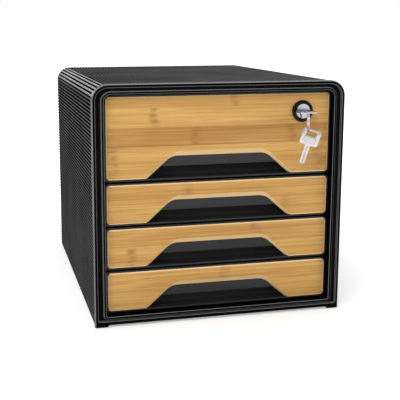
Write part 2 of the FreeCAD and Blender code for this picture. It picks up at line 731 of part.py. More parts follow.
def make_feet():
    """Four round rubber pads under the base panel."""
    ends = {
        "front": f"({FRONT} + foot_inset_front)",
        "rear": f"({FRONT} + case_depth - foot_inset_rear)",
    }
    pads = []
    for side_name, side in SIDES.items():
        x = f"{side} * ({HALF} - foot_inset_side)"
        for end_name, y in ends.items():
            pad = rod(f"pad_{side_name}_{end_name}", "z", "foot_radius", "base_lift", (x, y, "0"))
            pads.append(pad)
    return group("rubber_feet", pads)


# ---------------------------------------------------------------- drawers


def cutout(foot, half_foot, head, radius):
    """Corners of the handle cutout: sloped sides that go on past the bottom edge, rounded top."""
    spread = f"({half_foot} + cut_overrun * {CUT_RUN})"
    top_half = f"({half_foot} - ({head} - {foot}) * {CUT_RUN})"
    low = f"({foot} - cut_overrun)"
    return [
        (f"-{spread}", low),
        (spread, low),
        (top_half, head, radius),
        (f"-{top_half}", head, radius),
    ]


def make_fascia(drawer):
    """Bamboo board with the bevelled handle cutout; drawer 1's board also takes the lock."""
    name = f"drawer_{drawer}_fascia"
    height = front_height(drawer)
    board = body(f"{name}_body", y=BOARD_FACE, z=front_foot(drawer))
    outline = rectangle(BOARD_HALF, "border_bottom", f"({height} - border_top)", "fascia_corner")
    sketch = sketch_on(board, f"{name}_outline", "XZ_Plane", [outline])
    blank = feature(board, "Pad", f"{name}_blank", sketch, "fascia_wall", reverse=True)
    edges = edge_names(blank.Shape, on_plane("Y", 0))
    dress(board, "Chamfer", f"{name}_edge", blank, edges, "fascia_edge")
    wide = cutout(
        "border_bottom",
        "(cut_foot_half + bevel_side)",
        "(border_bottom + cut_height + bevel_top)",
        "(cut_radius + bevel_side / 2)",
    )
    narrow = cutout("border_bottom", "cut_foot_half", "(border_bottom + cut_height)", "cut_radius")
    mouth = sketch_on(board, f"{name}_bevel_front", "XZ_Plane", [wide])
    throat = sketch_on(board, f"{name}_bevel_back", "XZ_Plane", [narrow], "-fascia_wall")
    bevel = board.newObject("PartDesign::SubtractiveLoft", f"{name}_bevel")
    bevel.Profile = mouth
    bevel.Sections = [throat]
    bevel.Ruled = True
    doc.recompute()
    assert bevel.Shape.Volume < blank.Shape.Volume - LEAST_CUT
    holes = [
        rod(f"{name}_hole_{i}", "y", SCREW_BORE, "front_screw_bite", (x, SCREW_TIP, z))
        for i, (x, z) in enumerate(front_screw_places(drawer))
    ]
    if drawer == 1:
        holes.append(lock_hole(f"{name}_lock_hole", "fascia_setback", PLATE_FACE))
    return label(cut(f"{name}_cut", board, holes), name)


def front_screw_places(drawer):
    """Centres of a drawer's screws, as (x, z) formulas."""
    foot, height = front_foot(drawer), front_height(drawer)
    rows = (f"({foot} + front_screw_foot)", f"({foot} + {height} - front_screw_head)")
    return [(f"{side} * ({FRONT_HALF} - front_screw_inset)", z) for side in SIDES.values() for z in rows]


def lock_hole(name, front, back):
    """Cutting rod for the lock barrel between two setbacks."""
    length = f"({back} - {front} + 2 * cut_overrun)"
    start = (LOCK_X, f"{FRONT} + {front} - cut_overrun", LOCK_Z)
    return rod(name, "y", "(barrel_radius + barrel_gap)", length, start)


def scoop_profile(front, foot, back, head, radius, roof_radius):
    """Corners, as (y, z), of the scoop's section: hollow curve at its foot, small one at its roof."""
    return [(front, foot), (back, foot, radius), (back, head, roof_radius), (front, head)]


def make_front(drawer):
    """Moulded front: rim round the bamboo, pull lip, finger mouth and the scoop behind it."""
    name = f"drawer_{drawer}_front"
    height = front_height(drawer)
    front = body(f"{name}_body", y=FRONT, z=front_foot(drawer))
    outline = rectangle(FRONT_HALF, "0", height, "front_corner")
    sketch = sketch_on(front, f"{name}_outline", "XZ_Plane", [outline], "-rim_setback")
    feature(front, "Pad", f"{name}_block", sketch, f"({PLATE_BACK} - rim_setback)", reverse=True)
    seat = rectangle(
        f"({BOARD_HALF} + fascia_gap)",
        "(border_bottom - fascia_gap)",
        f"({height} - border_top + fascia_gap)",
        "(fascia_corner + fascia_gap)",
    )
    sketch = sketch_on(front, f"{name}_seat_outline", "XZ_Plane", [seat], "-rim_setback")
    feature(front, "Pocket", f"{name}_seat", sketch, f"({PLATE_FACE} - rim_setback)")
    shell = scoop_profile(
        PLATE_BACK,
        "0",
        f"({SCOOP_BACK} + scoop_wall)",
        "(lip_wall + scoop_height + scoop_wall)",
        "(scoop_radius + scoop_wall)",
        "(scoop_roof_radius + scoop_wall)",
    )
    sketch = sketch_on(front, f"{name}_scoop_outline", "YZ_Plane", [shell])
    feature(front, "Pad", f"{name}_scoop", sketch, "2 * (scoop_half + scoop_wall)", symmetric=True)
    hollow = scoop_profile(
        PLATE_BACK,
        "lip_wall",
        SCOOP_BACK,
        "(lip_wall + scoop_height)",
        "scoop_radius",
        "scoop_roof_radius",
    )
    sketch = sketch_on(front, f"{name}_hollow_outline", "YZ_Plane", [hollow])
    feature(front, "Pocket", f"{name}_hollow", sketch, "2 * scoop_half", symmetric=True)
    foot_half = "(cut_foot_half + mouth_spread)"
    head_half = f"({foot_half} - mouth_height * {CUT_RUN})"
    mouth = [
        (f"-{foot_half}", "lip_wall"),
        (foot_half, "lip_wall"),
        (head_half, "(lip_wall + mouth_height)"),
        (f"-{head_half}", "(lip_wall + mouth_height)"),
    ]
    sketch = sketch_on(front, f"{name}_mouth_outline", "XZ_Plane", [mouth], f"-{PLATE_FACE}")
    before = front.Shape.Volume
    feature(front, "Pocket", f"{name}_mouth", sketch, "plate_wall")
    assert front.Shape.Volume < before - LEAST_CUT
    start = f"({FRONT} + {PLATE_FACE} - cut_overrun)"
    holes = [
        rod(f"{name}_hole_{i}", "y", SCREW_BORE, "(plate_wall + 2 * cut_overrun)", (x, start, z))
        for i, (x, z) in enumerate(front_screw_places(drawer))
    ]
    if drawer == 1:
        holes.append(lock_hole(f"{name}_lock_hole", PLATE_FACE, PLATE_BACK))
    return label(cut(f"{name}_cut", front, holes), name)


def make_tray(drawer):
    """Open tray with rounded corners, a notch round the scoop and a stop tab on each side."""
    name = f"drawer_{drawer}_tray"
    foot, head = tray_foot(drawer), tray_head(drawer)
    near = f"({FRONT} + {PLATE_BACK})"
    far = f"({BACK_INNER} - tray_rear_gap)"
    tray = body(f"{name}_body", z=foot)
    outline = rectangle(TRAY_HALF, near, far, "tray_corner")
    sketch = sketch_on(tray, f"{name}_outline", "XY_Plane", [outline])
    feature(tray, "Pad", f"{name}_block", sketch, f"({head} - {foot})")
    inside = rectangle(
        f"({TRAY_HALF} - tray_wall)",
        f"({near} + tray_wall)",
        f"({far} - tray_wall)",
        "(tray_corner - tray_wall)",
    )
    sketch = sketch_on(tray, f"{name}_inside", "XY_Plane", [inside], "tray_wall")
    feature(tray, "Pocket", f"{name}_hollow", sketch, f"({head} - {foot})", reverse=True)
    notch_half = "(scoop_half + scoop_wall + notch_gap)"
    notch_back = f"({FRONT} + {SCOOP_BACK} + scoop_wall + notch_gap)"
    notch_head = f"({front_foot(drawer)} + lip_wall + scoop_height + scoop_wall + notch_gap)"
    notch = box(
        f"{name}_notch",
        (f"-{notch_half}", f"({near} - cut_overrun)", f"({foot} - cut_overrun)"),
        (notch_half, notch_back, notch_head),
    )
    cuts = [notch]
    for i, (x, z) in enumerate(front_screw_places(drawer)):
        start = (x, f"({near} - cut_overrun)", z)
        cuts.append(rod(f"{name}_hole_{i}", "y", SCREW_BORE, "tray_wall + 2 * cut_overrun", start))
    if drawer == 1:
        cuts.append(lock_hole(f"{name}_lock_hole", PLATE_BACK, f"({PLATE_BACK} + tray_wall)"))
    tab_front = f"({FRAME_BACK} + drawer_travel + stop_gap)"
    along = (tab_front, f"({tab_front} + stop_length)")
    upright = (foot, f"({foot} + stop_height)")
    root, tip = f"({TRAY_HALF} - tray_wall / 2)", f"({TRAY_HALF} + stop_reach)"
    tabs = [
        sided_box(f"{name}_tab_{side_name}", side, root, tip, along, upright)
        for side_name, side in SIDES.items()
    ]
    return label(fuse(f"{name}_with_tabs", [cut(f"{name}_cut", tray, cuts)] + tabs), name)


def make_front_screws(drawer):
    """Four screws from inside the tray, through the moulding, into the bamboo."""
    name = f"drawer_{drawer}_screws"
    length = "(front_screw_bite + plate_wall + tray_wall)"
    screws = []
    for i, (x, z) in enumerate(front_screw_places(drawer)):
        shaft = rod(f"{name}_shaft_{i}", "y", "screw_radius", length, (x, SCREW_TIP, z))
        head = rod(f"{name}_head_{i}", "y", "head_radius", "head_height", (x, SCREW_HEAD, z))
        screws.append(fuse(f"{name}_{i}", [shaft, head]))
    return group(name, screws)


# ---------------------------------------------------------------- lock


def lock_rod(name, radius, front, length, kind="Part::Cylinder"):
    """Rod or prism on the lock's axis, starting at a setback behind the casing's front plane."""
    return rod(name, "y", radius, length, (LOCK_X, f"{FRONT} + {front}", LOCK_Z), kind)


def lock_block(name, half_wide, half_high, front, back):
    """Box centred on the lock's axis between two setbacks."""
    return box(
        name,
        (f"({LOCK_X} - {half_wide})", f"{FRONT} + {front}", f"({LOCK_Z} - {half_high})"),
        (f"({LOCK_X} + {half_wide})", f"{FRONT} + {back}", f"({LOCK_Z} + {half_high})"),
    )


def make_barrel():
    """Lock housing: a round flange on the bamboo and a barrel through board, moulding and tray."""
    flange = lock_rod("barrel_flange", "flange_radius", FLANGE_FACE, "flange_height")
    doc.recompute()
    rounded = doc.addObject("Part::Fillet", "barrel_flange_round")
    rounded.Base = flange
    radius = number("flange_round")
    front = on_plane("Y", number(f"{FRONT} + {FLANGE_FACE}"))
    rounded.Edges = [(i, radius, radius) for i, e in enumerate(flange.Shape.Edges, start=1) if front(e)]
    tube = lock_rod("barrel_tube", "barrel_radius", "fascia_setback", "barrel_length")
    start = f"({FLANGE_FACE} - cut_overrun)"
    depth = "(flange_height + barrel_length + 2 * cut_overrun)"
    bore = lock_rod("barrel_bore", "(plug_radius + plug_gap)", start, depth)
    return label(cut("lock_barrel_cut", fuse("barrel_solid", [rounded, tube]), [bore]), "lock_barrel")


def make_nut():
    """Hexagonal nut that clamps the barrel from inside the tray."""
    start = f"({PLATE_BACK} + tray_wall)"
    blank = lock_rod("nut_blank", "nut_radius", start, "nut_height", "Part::Prism")
    before, depth = f"({start} - cut_overrun)", "(nut_height + 2 * cut_overrun)"
    bore = lock_rod("nut_bore", "(barrel_radius + plug_gap)", before, depth)
    return label(cut("lock_nut_cut", blank, [bore]), "lock_nut")


def make_plug():
    """Turning plug with the keyway in front and a square shank for the cam."""
    face = f"({FLANGE_FACE} - plug_proud)"
    shoulder = f"({BARREL_END} + plug_gap)"
    drum = lock_rod("plug_drum", "plug_radius", face, f"({shoulder} - {face})")
    half = "shank_side / 2"
    shank_end = f"({CAM_FACE} + shank_length)"
    shank = lock_block("plug_shank", half, half, shoulder, shank_end)
    wide, high = "(blade_width / 2 + plug_gap)", "(key_wall / 2 + plug_gap)"
    keyway_end = f"({face} + keyway_depth)"
    keyway = lock_block("plug_keyway", wide, high, f"({face} - cut_overrun)", keyway_end)
    thread_start = f"({shank_end} - cam_screw_length)"
    depth = "(cam_screw_length + cut_overrun)"
    thread = lock_rod("plug_thread", "(cam_screw_radius + screw_gap)", thread_start, depth)
    return label(cut("lock_plug_cut", fuse("plug_solid", [drum, shank]), [keyway, thread]), "lock_plug")


def make_cam():
    """Flat cam that points sideways when the drawer is free and up when it is locked."""
    cam = body("lock_cam_body", x=LOCK_X, y=f"{FRONT} + {CAM_FACE}", z=LOCK_Z)
    half = "(cam_width / 2)"
    round_ = "(cam_width / 2 - cam_gap)"
    outline = [
        (f"-{half}", f"-{half}", round_),
        ("cam_reach", f"-{half}", round_),
        ("cam_reach", half, round_),
        (f"-{half}", half, round_),
    ]
    sketch = sketch_on(cam, "cam_outline", "XZ_Plane", [outline])
    feature(cam, "Pad", "cam_plate", sketch, "cam_wall", reverse=True)
    side = "(shank_side / 2 + plug_gap)"
    before, behind = f"({CAM_FACE} - cut_overrun)", f"({CAM_FACE} + cam_wall + cut_overrun)"
    square = lock_block("cam_square", side, side, before, behind)
    return label(cut("lock_cam_cut", cam, [square]), "lock_cam")


def make_cam_screw():
    """Screw that holds the cam on the plug's shank."""
    shank_end = f"({CAM_FACE} + shank_length)"
    tip = f"({shank_end} - cam_screw_length)"
    shaft = lock_rod("cam_screw_shaft", "cam_screw_radius", tip, "cam_screw_length")
    head = lock_rod("cam_screw_head", "cam_head_radius", shank_end, "cam_head_height")
    return label(fuse("cam_screw_solid", [shaft, head]), "cam_screw")


# ---------------------------------------------------------------- keys


def make_key(name):
    """Flat key: bow with a slot towards -Y, grooved blade towards +Y, the shoulder at the origin."""
    key = doc.addObject("PartDesign::Body", f"{name}_body")
    blade_half = "(blade_width / 2)"
    bow_half = "(bow_width / 2)"
    tip_start = "(blade_length - blade_taper)"
    outline = [
        (f"-{bow_half}", "-bow_length", "bow_round"),
        (bow_half, "-bow_length", "bow_round"),
        (bow_half, "0", "bow_round"),
        (blade_half, "0"),
        (blade_half, tip_start),
        (f"({blade_half} - blade_taper)", "blade_length"),
        (f"-({blade_half} - blade_taper)", "blade_length"),
        (f"-{blade_half}", tip_start),
        (f"-{blade_half}", "0"),
        (f"-{bow_half}", "0", "bow_round"),
    ]
    slot_end = "(bow_strip - bow_length)"
    slot = rectangle("(slot_width / 2)", slot_end, f"({slot_end} + slot_length)", "slot_round")
    sketch = sketch_on(key, f"{name}_outline", "XY_Plane", [outline, slot])
    feature(key, "Pad", f"{name}_plate", sketch, "key_wall", symmetric=True)
    groove = rectangle("(groove_width / 2)", "blade_taper", "(blade_length + cut_overrun)")
    sketch = sketch_on(key, f"{name}_groove_outline", "XY_Plane", [groove], "(key_wall / 2)")
    feature(key, "Pocket", f"{name}_groove", sketch, "groove_depth")
    return label(key, name)


def place_keys(inserted, ring, spare):
    """Set the key in the lock, hang the ring on its bow and the spare on the ring."""
    bind(inserted, x=LOCK_X, y=f"{FRONT} + key_standoff", z=LOCK_Z)
    across = FreeCAD.Rotation(V(0, 0, 1), -number("ring_yaw"))
    strip = V(number(f"{LOCK_X} - ring_shift"), number(f"{FRONT} + {STRIP_SETBACK}"), number(LOCK_Z))
    # The slot is short for so wide a ring, so the ring stands forward of the strip that carries it.
    middle = strip - across.multVec(V(0, number("ring_pull"), 0)) - V(0, 0, number("ring_drop"))
    ring.Placement = FreeCAD.Placement(middle, across)
    hang = middle - V(0, 0, number("ring_radius"))
    # In the key's own frame: the wire lies in the slot's end corner, under the strip.
    seat = V(
        number("slot_width / 2 - ring_slack - wire_radius - wire_spread * cos(spare_lean)"),
        number("bow_strip - bow_length + ring_slack + wire_radius + wire_spread * sin(spare_lean)"),
        0,
    )
    blade_down = FreeCAD.Rotation(V(0, 0, 1), 180) * FreeCAD.Rotation(V(1, 0, 0), -90)
    turn = across * FreeCAD.Rotation(V(0, 1, 0), number("spare_lean")) * blade_down
    spare.Placement = FreeCAD.Placement(hang - turn.multVec(seat), turn)


def make_ring():
    """Split ring: two turns of wire side by side, upright, its middle at the origin."""
    turns = []
    for name, side in SIDES.items():
        turn = doc.addObject("Part::Torus", f"ring_turn_{name}")
        turn.Placement.Rotation = FreeCAD.Rotation(V(0, 1, 0), 90)
        turns.append(bind(turn, Radius1="ring_radius", Radius2="wire_radius", x=f"{side} * wire_spread"))
    return label(fuse("ring_turns", turns), "key_ring")


# ---------------------------------------------------------------- assembly


def check(parts):
    """Stop unless every object computed and every sub-part holds valid solids."""
    for item in doc.Objects:
        if {"Invalid", "Error"} & set(item.State):
            raise RuntimeError(f"{item.Label} did not compute: {item.State}")
    for part in parts:
        shape = part.Shape
        if shape.isNull() or not shape.isValid() or not shape.Solids:
            raise RuntimeError(f"{part.Label} has no valid solid")


def main():
    """Build every sub-part, check it and write one STEP file for each."""
    parts = [make_shell(), make_frame(), make_back(), make_base(), make_strike(), make_feet()]
    parts += [make_runner(f"{name}_runner", side) for name, side in SIDES.items()]
    parts += make_case_screws()
    for drawer in DRAWERS:
        parts += [make_tray(drawer), make_front(drawer), make_fascia(drawer), make_front_screws(drawer)]
    parts += [make_barrel(), make_nut(), make_plug(), make_cam(), make_cam_screw()]
    inserted, ring, spare = make_key("key_in_lock"), make_ring(), make_key("spare_key")
    place_keys(inserted, ring, spare)
    parts += [inserted, ring, spare]
    doc.recompute()
    check(parts)
    os.makedirs("parts", exist_ok=True)
    for part in parts:
        part.Shape.exportStep(f"parts/{part.Label}.step")
        print(part.Label, len(part.Shape.Solids), round(part.Shape.Volume, 1))


main()
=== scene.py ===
"""The looks of a desktop file drawer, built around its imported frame. All lengths are metres."""

import json
import logging
import math
from abc import ABC, abstractmethod
from collections.abc import Callable, Iterator
from contextlib import contextmanager
from dataclasses import dataclass
from enum import Enum
from typing import ClassVar

import bmesh
import bpy
from mathutils import Matrix, Vector

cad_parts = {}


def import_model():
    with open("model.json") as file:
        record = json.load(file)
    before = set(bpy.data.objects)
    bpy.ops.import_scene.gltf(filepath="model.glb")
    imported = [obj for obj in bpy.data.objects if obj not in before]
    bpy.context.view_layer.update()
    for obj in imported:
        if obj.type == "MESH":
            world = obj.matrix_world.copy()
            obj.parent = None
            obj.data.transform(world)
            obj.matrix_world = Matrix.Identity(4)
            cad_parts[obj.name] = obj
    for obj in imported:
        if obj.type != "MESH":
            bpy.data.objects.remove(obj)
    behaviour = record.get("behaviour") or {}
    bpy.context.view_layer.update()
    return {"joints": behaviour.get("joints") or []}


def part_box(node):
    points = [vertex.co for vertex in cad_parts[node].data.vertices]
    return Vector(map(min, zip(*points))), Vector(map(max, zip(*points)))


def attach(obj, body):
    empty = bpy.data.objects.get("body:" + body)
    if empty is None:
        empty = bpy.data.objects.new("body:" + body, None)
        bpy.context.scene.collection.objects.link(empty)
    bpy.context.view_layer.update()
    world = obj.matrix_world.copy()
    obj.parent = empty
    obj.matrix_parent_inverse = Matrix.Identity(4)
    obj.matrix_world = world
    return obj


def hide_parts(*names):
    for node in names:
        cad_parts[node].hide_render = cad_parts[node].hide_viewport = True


LOG = logging.getLogger("file_drawer")
MM = 0.001

Colour = tuple[float, float, float]
Triple = tuple[float, float, float]
Span = tuple[float, float]
Socket = bpy.types.NodeSocket
Value = float | tuple | Socket

UNMOVED: Triple = (0.0, 0.0, 0.0)
WHITE = (1.0, 1.0, 1.0, 1.0)

# Range that holds most of a noise's values.
MOST: Span = (0.25, 0.75)


# ---------------------------------------------------------------- wiring of a material


class Wiring:
    """Short ways to add nodes to a node tree and to join them."""

    def __init__(self, tree: bpy.types.NodeTree) -> None:
        """Start to work on a tree."""
        self.tree = tree

    def node(self, kind: str, inputs: dict | None = None, **settings: object) -> bpy.types.Node:
        """Add a node.

        Args:
            kind: Blender's name of the node type.
            inputs: values or sockets by input name or number.
            settings: properties of the node itself.

        Returns:
            The new node.
        """
        made = self.tree.nodes.new(kind)
        for key, value in settings.items():
            setattr(made, key, value)
        for key, value in (inputs or {}).items():
            self.feed(made.inputs[key], value)
        return made

    def feed(self, socket: Socket, value: Value) -> None:
        """Link a socket to another one, or set its constant.

        Args:
            socket: the input to feed.
            value: a socket or a constant.
        """
        if isinstance(value, Socket):
            self.tree.links.new(value, socket)
        else:
            socket.default_value = value

    def calc(self, operation: str, first: Value, second: Value = 0.0, clamp: bool = False) -> Socket:
        """Work out one sum.

        Args:
            operation: Blender's name of the operation.
            first: first number.
            second: second number.
            clamp: keep the result between 0 and 1.

        Returns:
            The result's socket.
        """
        inputs = {0: first, 1: second}
        return self.node("ShaderNodeMath", inputs, operation=operation, use_clamp=clamp).outputs[0]

    def spread(self, value: Value, span: Span, to: Span = (0.0, 1.0)) -> Socket:
        """Smooth step of a value.

        Args:
            value: what is spread.
            span: values at which the step starts and ends.
            to: what they become.

        Returns:
            The result's socket.
        """
        inputs = {"Value": value, "From Min": span[0], "From Max": span[1]}
        inputs |= {"To Min": to[0], "To Max": to[1]}
        made = self.node("ShaderNodeMapRange", inputs, interpolation_type="SMOOTHSTEP")
        return made.outputs["Result"]

    def seen(self) -> Socket:
        """Tell looks from light.

        Returns:
            Socket that is 1 for the camera and for what metal and glass show, and 0 for light.
        """
        path = self.node("ShaderNodeLightPath").outputs
        mirrored = self.calc("MAXIMUM", path["Is Glossy Ray"], path["Is Transmission Ray"])
        return self.calc("MAXIMUM", path["Is Camera Ray"], mirrored)


class Surface(Wiring):
    """A material's node tree, with a Principled shader at its end."""

    def __init__(self, name: str) -> None:
        """Start an empty material.

        Args:
            name: the material's name.
        """
        self.material = bpy.data.materials.new(name)
        self.material.use_nodes = True
        super().__init__(self.material.node_tree)
        self.shader = self.tree.nodes["Principled BSDF"]
        self.place = self.node("ShaderNodeTexCoord").outputs["Object"]
        self.facing = self.node("ShaderNodeNewGeometry").outputs["Normal"]

    def set(self, **inputs: Value) -> None:
        """Feed the shader's inputs; an underscore in a name stands for a space."""
        for key, value in inputs.items():
            self.feed(self.shader.inputs[key.replace("_", " ")], value)

    def noise(self, scale: Triple, detail: float = 2.0, shift: Triple = UNMOVED) -> Socket:
        """Noise stretched along the object's axes.

        Args:
            scale: patches per metre along each axis.
            detail: how many finer layers it has.
            shift: move of the pattern before it is stretched.

        Returns:
            Socket with values round 0.5.
        """
        moved = self.node("ShaderNodeVectorMath", {0: self.place, 1: shift}, operation="ADD")
        inputs = {0: moved.outputs[0], 1: scale}
        scaled = self.node("ShaderNodeVectorMath", inputs, operation="MULTIPLY").outputs[0]
        inputs = {"Vector": scaled, "Scale": 1.0, "Detail": detail}
        return self.node("ShaderNodeTexNoise", inputs).outputs["Fac"]

    def patches(self, size: float, detail: float = 2.0) -> Socket:
        """Even noise whose patches have a size in metres."""
        return self.noise((1 / size,) * 3, detail)

    def axes(self) -> tuple[Socket, Socket]:
        """Place across and height on the object."""
        parts = self.node("ShaderNodeSeparateXYZ", {0: self.place}).outputs
        return parts["X"], parts["Z"]

    def frontal(self) -> Socket:
        """How far a surface faces the front: 1 for square on."""
        parts = self.node("ShaderNodeSeparateXYZ", {0: self.facing}).outputs
        return self.calc("MULTIPLY", parts["Y"], -1.0)

    def blend(self, factor: Value, low: Colour | Socket, high: Colour | Socket) -> Socket:
        """Mix two colours.

        Args:
            factor: share of the second colour.
            low: first colour.
            high: second colour.

        Returns:
            Socket of the mixed colour.
        """
        first, second = (v if isinstance(v, Socket) else (*v, 1.0) for v in (low, high))
        made = self.node("ShaderNodeMix", {0: factor, 6: first, 7: second}, data_type="RGBA")
        return made.outputs[2]

    def relief(self, height: Socket, depth: float) -> None:
        """Give the shader a bump of a depth in metres."""
        made = self.node("ShaderNodeBump", {"Height": height, "Distance": depth, "Strength": 1.0})
        self.set(Normal=made.outputs["Normal"])


@dataclass(frozen=True)
class Pattern:
    """Stretched noise with the values that it is spread over.

    Attributes:
        scale: patches per metre along x, y and z.
        detail: how many finer layers it has.
        span: noise values that are spread.
        to: what they become.
    """

    scale: Triple
    detail: float
    span: Span
    to: Span

    def noise(self, surface: Surface, shift: Triple = UNMOVED) -> Socket:
        """The plain noise."""
        return surface.noise(self.scale, self.detail, shift)

    def laid(self, surface: Surface, shift: Triple = UNMOVED) -> Socket:
        """The noise, spread."""
        return surface.spread(self.noise(surface, shift), self.span, self.to)


# ---------------------------------------------------------------- finishes


class Finish(ABC):
    """A material that is made once and shared by the pieces that wear it.

    Attributes:
        name: the material's name.
        made: the materials made so far, by name.
    """

    name: str
    made: ClassVar[dict[str, bpy.types.Material]] = {}

    @abstractmethod
    def build(self) -> bpy.types.Material:
        """Make the material."""

    @property
    def slot(self) -> str:
        """Name of the record's material slot."""
        return self.name

    def material(self) -> bpy.types.Material:
        """The material, made at its first use."""
        if self.name not in Finish.made:
            Finish.made[self.name] = self.build()
        return Finish.made[self.name]


@dataclass(frozen=True)
class MouldedPlastic(Finish):
    """Moulded plastic with a fine grain and faint cloudy flow marks, and optionally a painted
    highlight on the rounded edges round a front.

    Attributes:
        name: the material's name.
        colour: its middle colour.
        roughness: its roughness between flow marks.
        gloss: strength of its shine.
        grain: size of the grain.
        relief: depth of the grain.
        clouds: size of the flow marks.
        variation: share by which flow marks change the colour.
        dulling: what flow marks add to the roughness.
        edge: colour of a painted highlight on the rounded edges round a front.
        highlight_start: span of facing the front in which that painted highlight begins.
        highlight_end: span in which it ends.
    """

    name: str
    colour: Colour
    roughness: float
    gloss: float = 0.3
    grain: float = 0.35 * MM
    relief: float = 0.012 * MM
    clouds: float = 45 * MM
    variation: float = 0.25
    dulling: Span = (-0.04, 0.05)
    edge: Colour | None = None
    highlight_start: Span = (0.25, 0.5)
    highlight_end: Span = (0.72, 0.92)

    def build(self) -> bpy.types.Material:
        """Make the material."""
        surface = Surface(self.name)
        cloud = surface.patches(self.clouds, 3.0)
        low = tuple(c * (1 - self.variation) for c in self.colour)
        high = tuple(c * (1 + self.variation) for c in self.colour)
        colour = surface.blend(cloud, low, high)
        # Painted highlight: the rounded edges round a front are lightened in the colour.
        if self.edge:
            colour = surface.blend(self.rounding(surface), colour, self.edge)
        rough = tuple(self.roughness + change for change in self.dulling)
        surface.set(Base_Color=colour, Specular_IOR_Level=self.gloss)
        surface.set(Roughness=surface.spread(cloud, MOST, rough))
        surface.relief(surface.patches(self.grain), self.relief)
        return surface.material

    def rounding(self, surface: Surface) -> Socket:
        """Find the rounded edges round a front, which get a painted highlight.

        Args:
            surface: the material in the making.

        Returns:
            Mask of the painted highlight.
        """
        frontal = surface.frontal()
        begun = surface.spread(frontal, self.highlight_start)
        return surface.calc("MULTIPLY", begun, surface.spread(frontal, self.highlight_end, (1.0, 0.0)))


@dataclass(frozen=True)
class RibbedPlastic(Finish):
    """Moulded plastic with no shine of its own: its rib crests carry a painted sheen, and its
    grooves carry painted shade.

    Attributes:
        name: the material's name.
        half: half width over the ribs.
        head: height over the ribs.
        corner: radius of the rounded upper corners over the ribs.
        flank: height of a rib's flank, over which the groove turns into the crest.
        groove_shade: near-black colour in the grooves: painted shade.
        crest: colour of the rib crests, lightened as a painted sheen.
        corner_highlight: colour of the crests along the upper corners: a painted highlight.
        rub: span over which that painted highlight sets in, as width and height together past the
            corner's middle.
        roughness: of the crests.
        clouds: size of the worn patches.
        worn: share of the crest's colour in those patches.
        grain: size of the grain.
        relief: depth of the grain.
    """

    name: str
    half: float
    head: float
    corner: float = 17.6 * MM
    flank: float = 0.65 * MM
    groove_shade: Colour = (0.0015, 0.0015, 0.0016)
    crest: Colour = (0.105, 0.105, 0.106)
    corner_highlight: Colour = (0.46, 0.46, 0.464)
    rub: Span = (18.0 * MM, 23.5 * MM)
    roughness: float = 0.38
    clouds: float = 60 * MM
    worn: Span = (0.75, 1.1)
    grain: float = 0.4 * MM
    relief: float = 0.01 * MM

    def build(self) -> bpy.types.Material:
        """Make the material."""
        surface = Surface(self.name)
        x, z = surface.axes()
        aside = surface.calc("SUBTRACT", surface.calc("ABSOLUTE", x), self.half - self.corner)
        above = surface.calc("SUBTRACT", z, self.head - self.corner)
        raised = self.crests(surface, aside, above)
        # Painted highlight: the crests along the upper corners are lightened.
        corner_highlight_mask = surface.spread(surface.calc("ADD", aside, above), self.rub)
        crest = surface.blend(corner_highlight_mask, self.crest, self.corner_highlight)
        worn = surface.spread(surface.patches(self.clouds, 3.0), MOST, self.worn)
        # Painted sheen on the crests and painted shade in the grooves.
        crest_light_mask = surface.calc("MULTIPLY", raised, worn, clamp=True)
        surface.set(Base_Color=surface.blend(crest_light_mask, self.groove_shade, crest), Specular_IOR_Level=0.0)
        surface.set(Roughness=surface.spread(raised, (0.0, 1.0), (1.0, self.roughness)))
        surface.relief(surface.patches(self.grain), self.relief)
        return surface.material

    def crests(self, surface: Surface, aside: Socket, above: Socket) -> Socket:
        """Find the ribs by their distance from the middle of the rounded corners.

        Args:
            surface: the material in the making.
            aside: width past that middle.
            above: height past that middle.

        Returns:
            Mask that is 1 on the crests and 0 in the grooves.
        """
        past = [surface.calc("MAXIMUM", part, 0.0) for part in (aside, above)]
        squares = [surface.calc("POWER", part, 2.0) for part in past]
        away = surface.calc("SQRT", surface.calc("ADD", *squares))
        return surface.spread(away, (self.corner - self.flank, self.corner))


@dataclass(frozen=True)
class Plated(Finish):
    """Bright plated metal with fine polishing lines, dull patches and crevices darkened by painted
    shade.

    Attributes:
        name: the material's name.
        colour: its colour where it is bright.
        roughness: its middle roughness.
        patches: size of the dull patches.
        patch_span: noise values over which a patch turns bright.
        rough_span: noise values over which the roughness rises.
        rough_shares: lowest and highest roughness as shares of the middle one.
        dull: share of the colour that a dull patch keeps.
        crevice_shade: share of the colour that a crevice keeps under its painted shade.
        crevice: how far round a point its crevices are looked for.
        open_span: openness over which a crevice ends.
        polish: length of the polishing lines.
        lines: width of the polishing lines.
        relief: depth of the polishing lines.
    """

    name: str
    colour: Colour
    roughness: float
    patches: float = 4 * MM
    patch_span: Span = (0.35, 0.7)
    rough_span: Span = (0.3, 0.75)
    rough_shares: Span = (0.7, 1.5)
    dull: float = 0.82
    crevice_shade: float = 0.12
    crevice: float = 1.2 * MM
    open_span: Span = (0.5, 0.92)
    polish: float = 6 * MM
    lines: float = 0.25 * MM
    relief: float = 0.004 * MM

    def build(self) -> bpy.types.Material:
        """Make the material."""
        surface = Surface(self.name)
        patch = surface.patches(self.patches, 4.0)
        dull, crevice_shade = (tuple(c * share for c in self.colour) for share in (self.dull, self.crevice_shade))
        bright = surface.blend(surface.spread(patch, self.patch_span), dull, self.colour)
        # Painted shade: crevices found by ambient occlusion are darkened in the colour.
        shade = surface.node("ShaderNodeAmbientOcclusion", {"Distance": self.crevice}, samples=12)
        opened = surface.spread(shade.outputs["AO"], self.open_span)
        rough = tuple(self.roughness * share for share in self.rough_shares)
        surface.set(Metallic=1.0, Base_Color=surface.blend(opened, crevice_shade, bright))
        surface.set(Roughness=surface.spread(patch, self.rough_span, rough))
        surface.relief(surface.noise((1 / self.polish, 1 / self.lines, 1 / self.lines)), self.relief)
        return surface.material


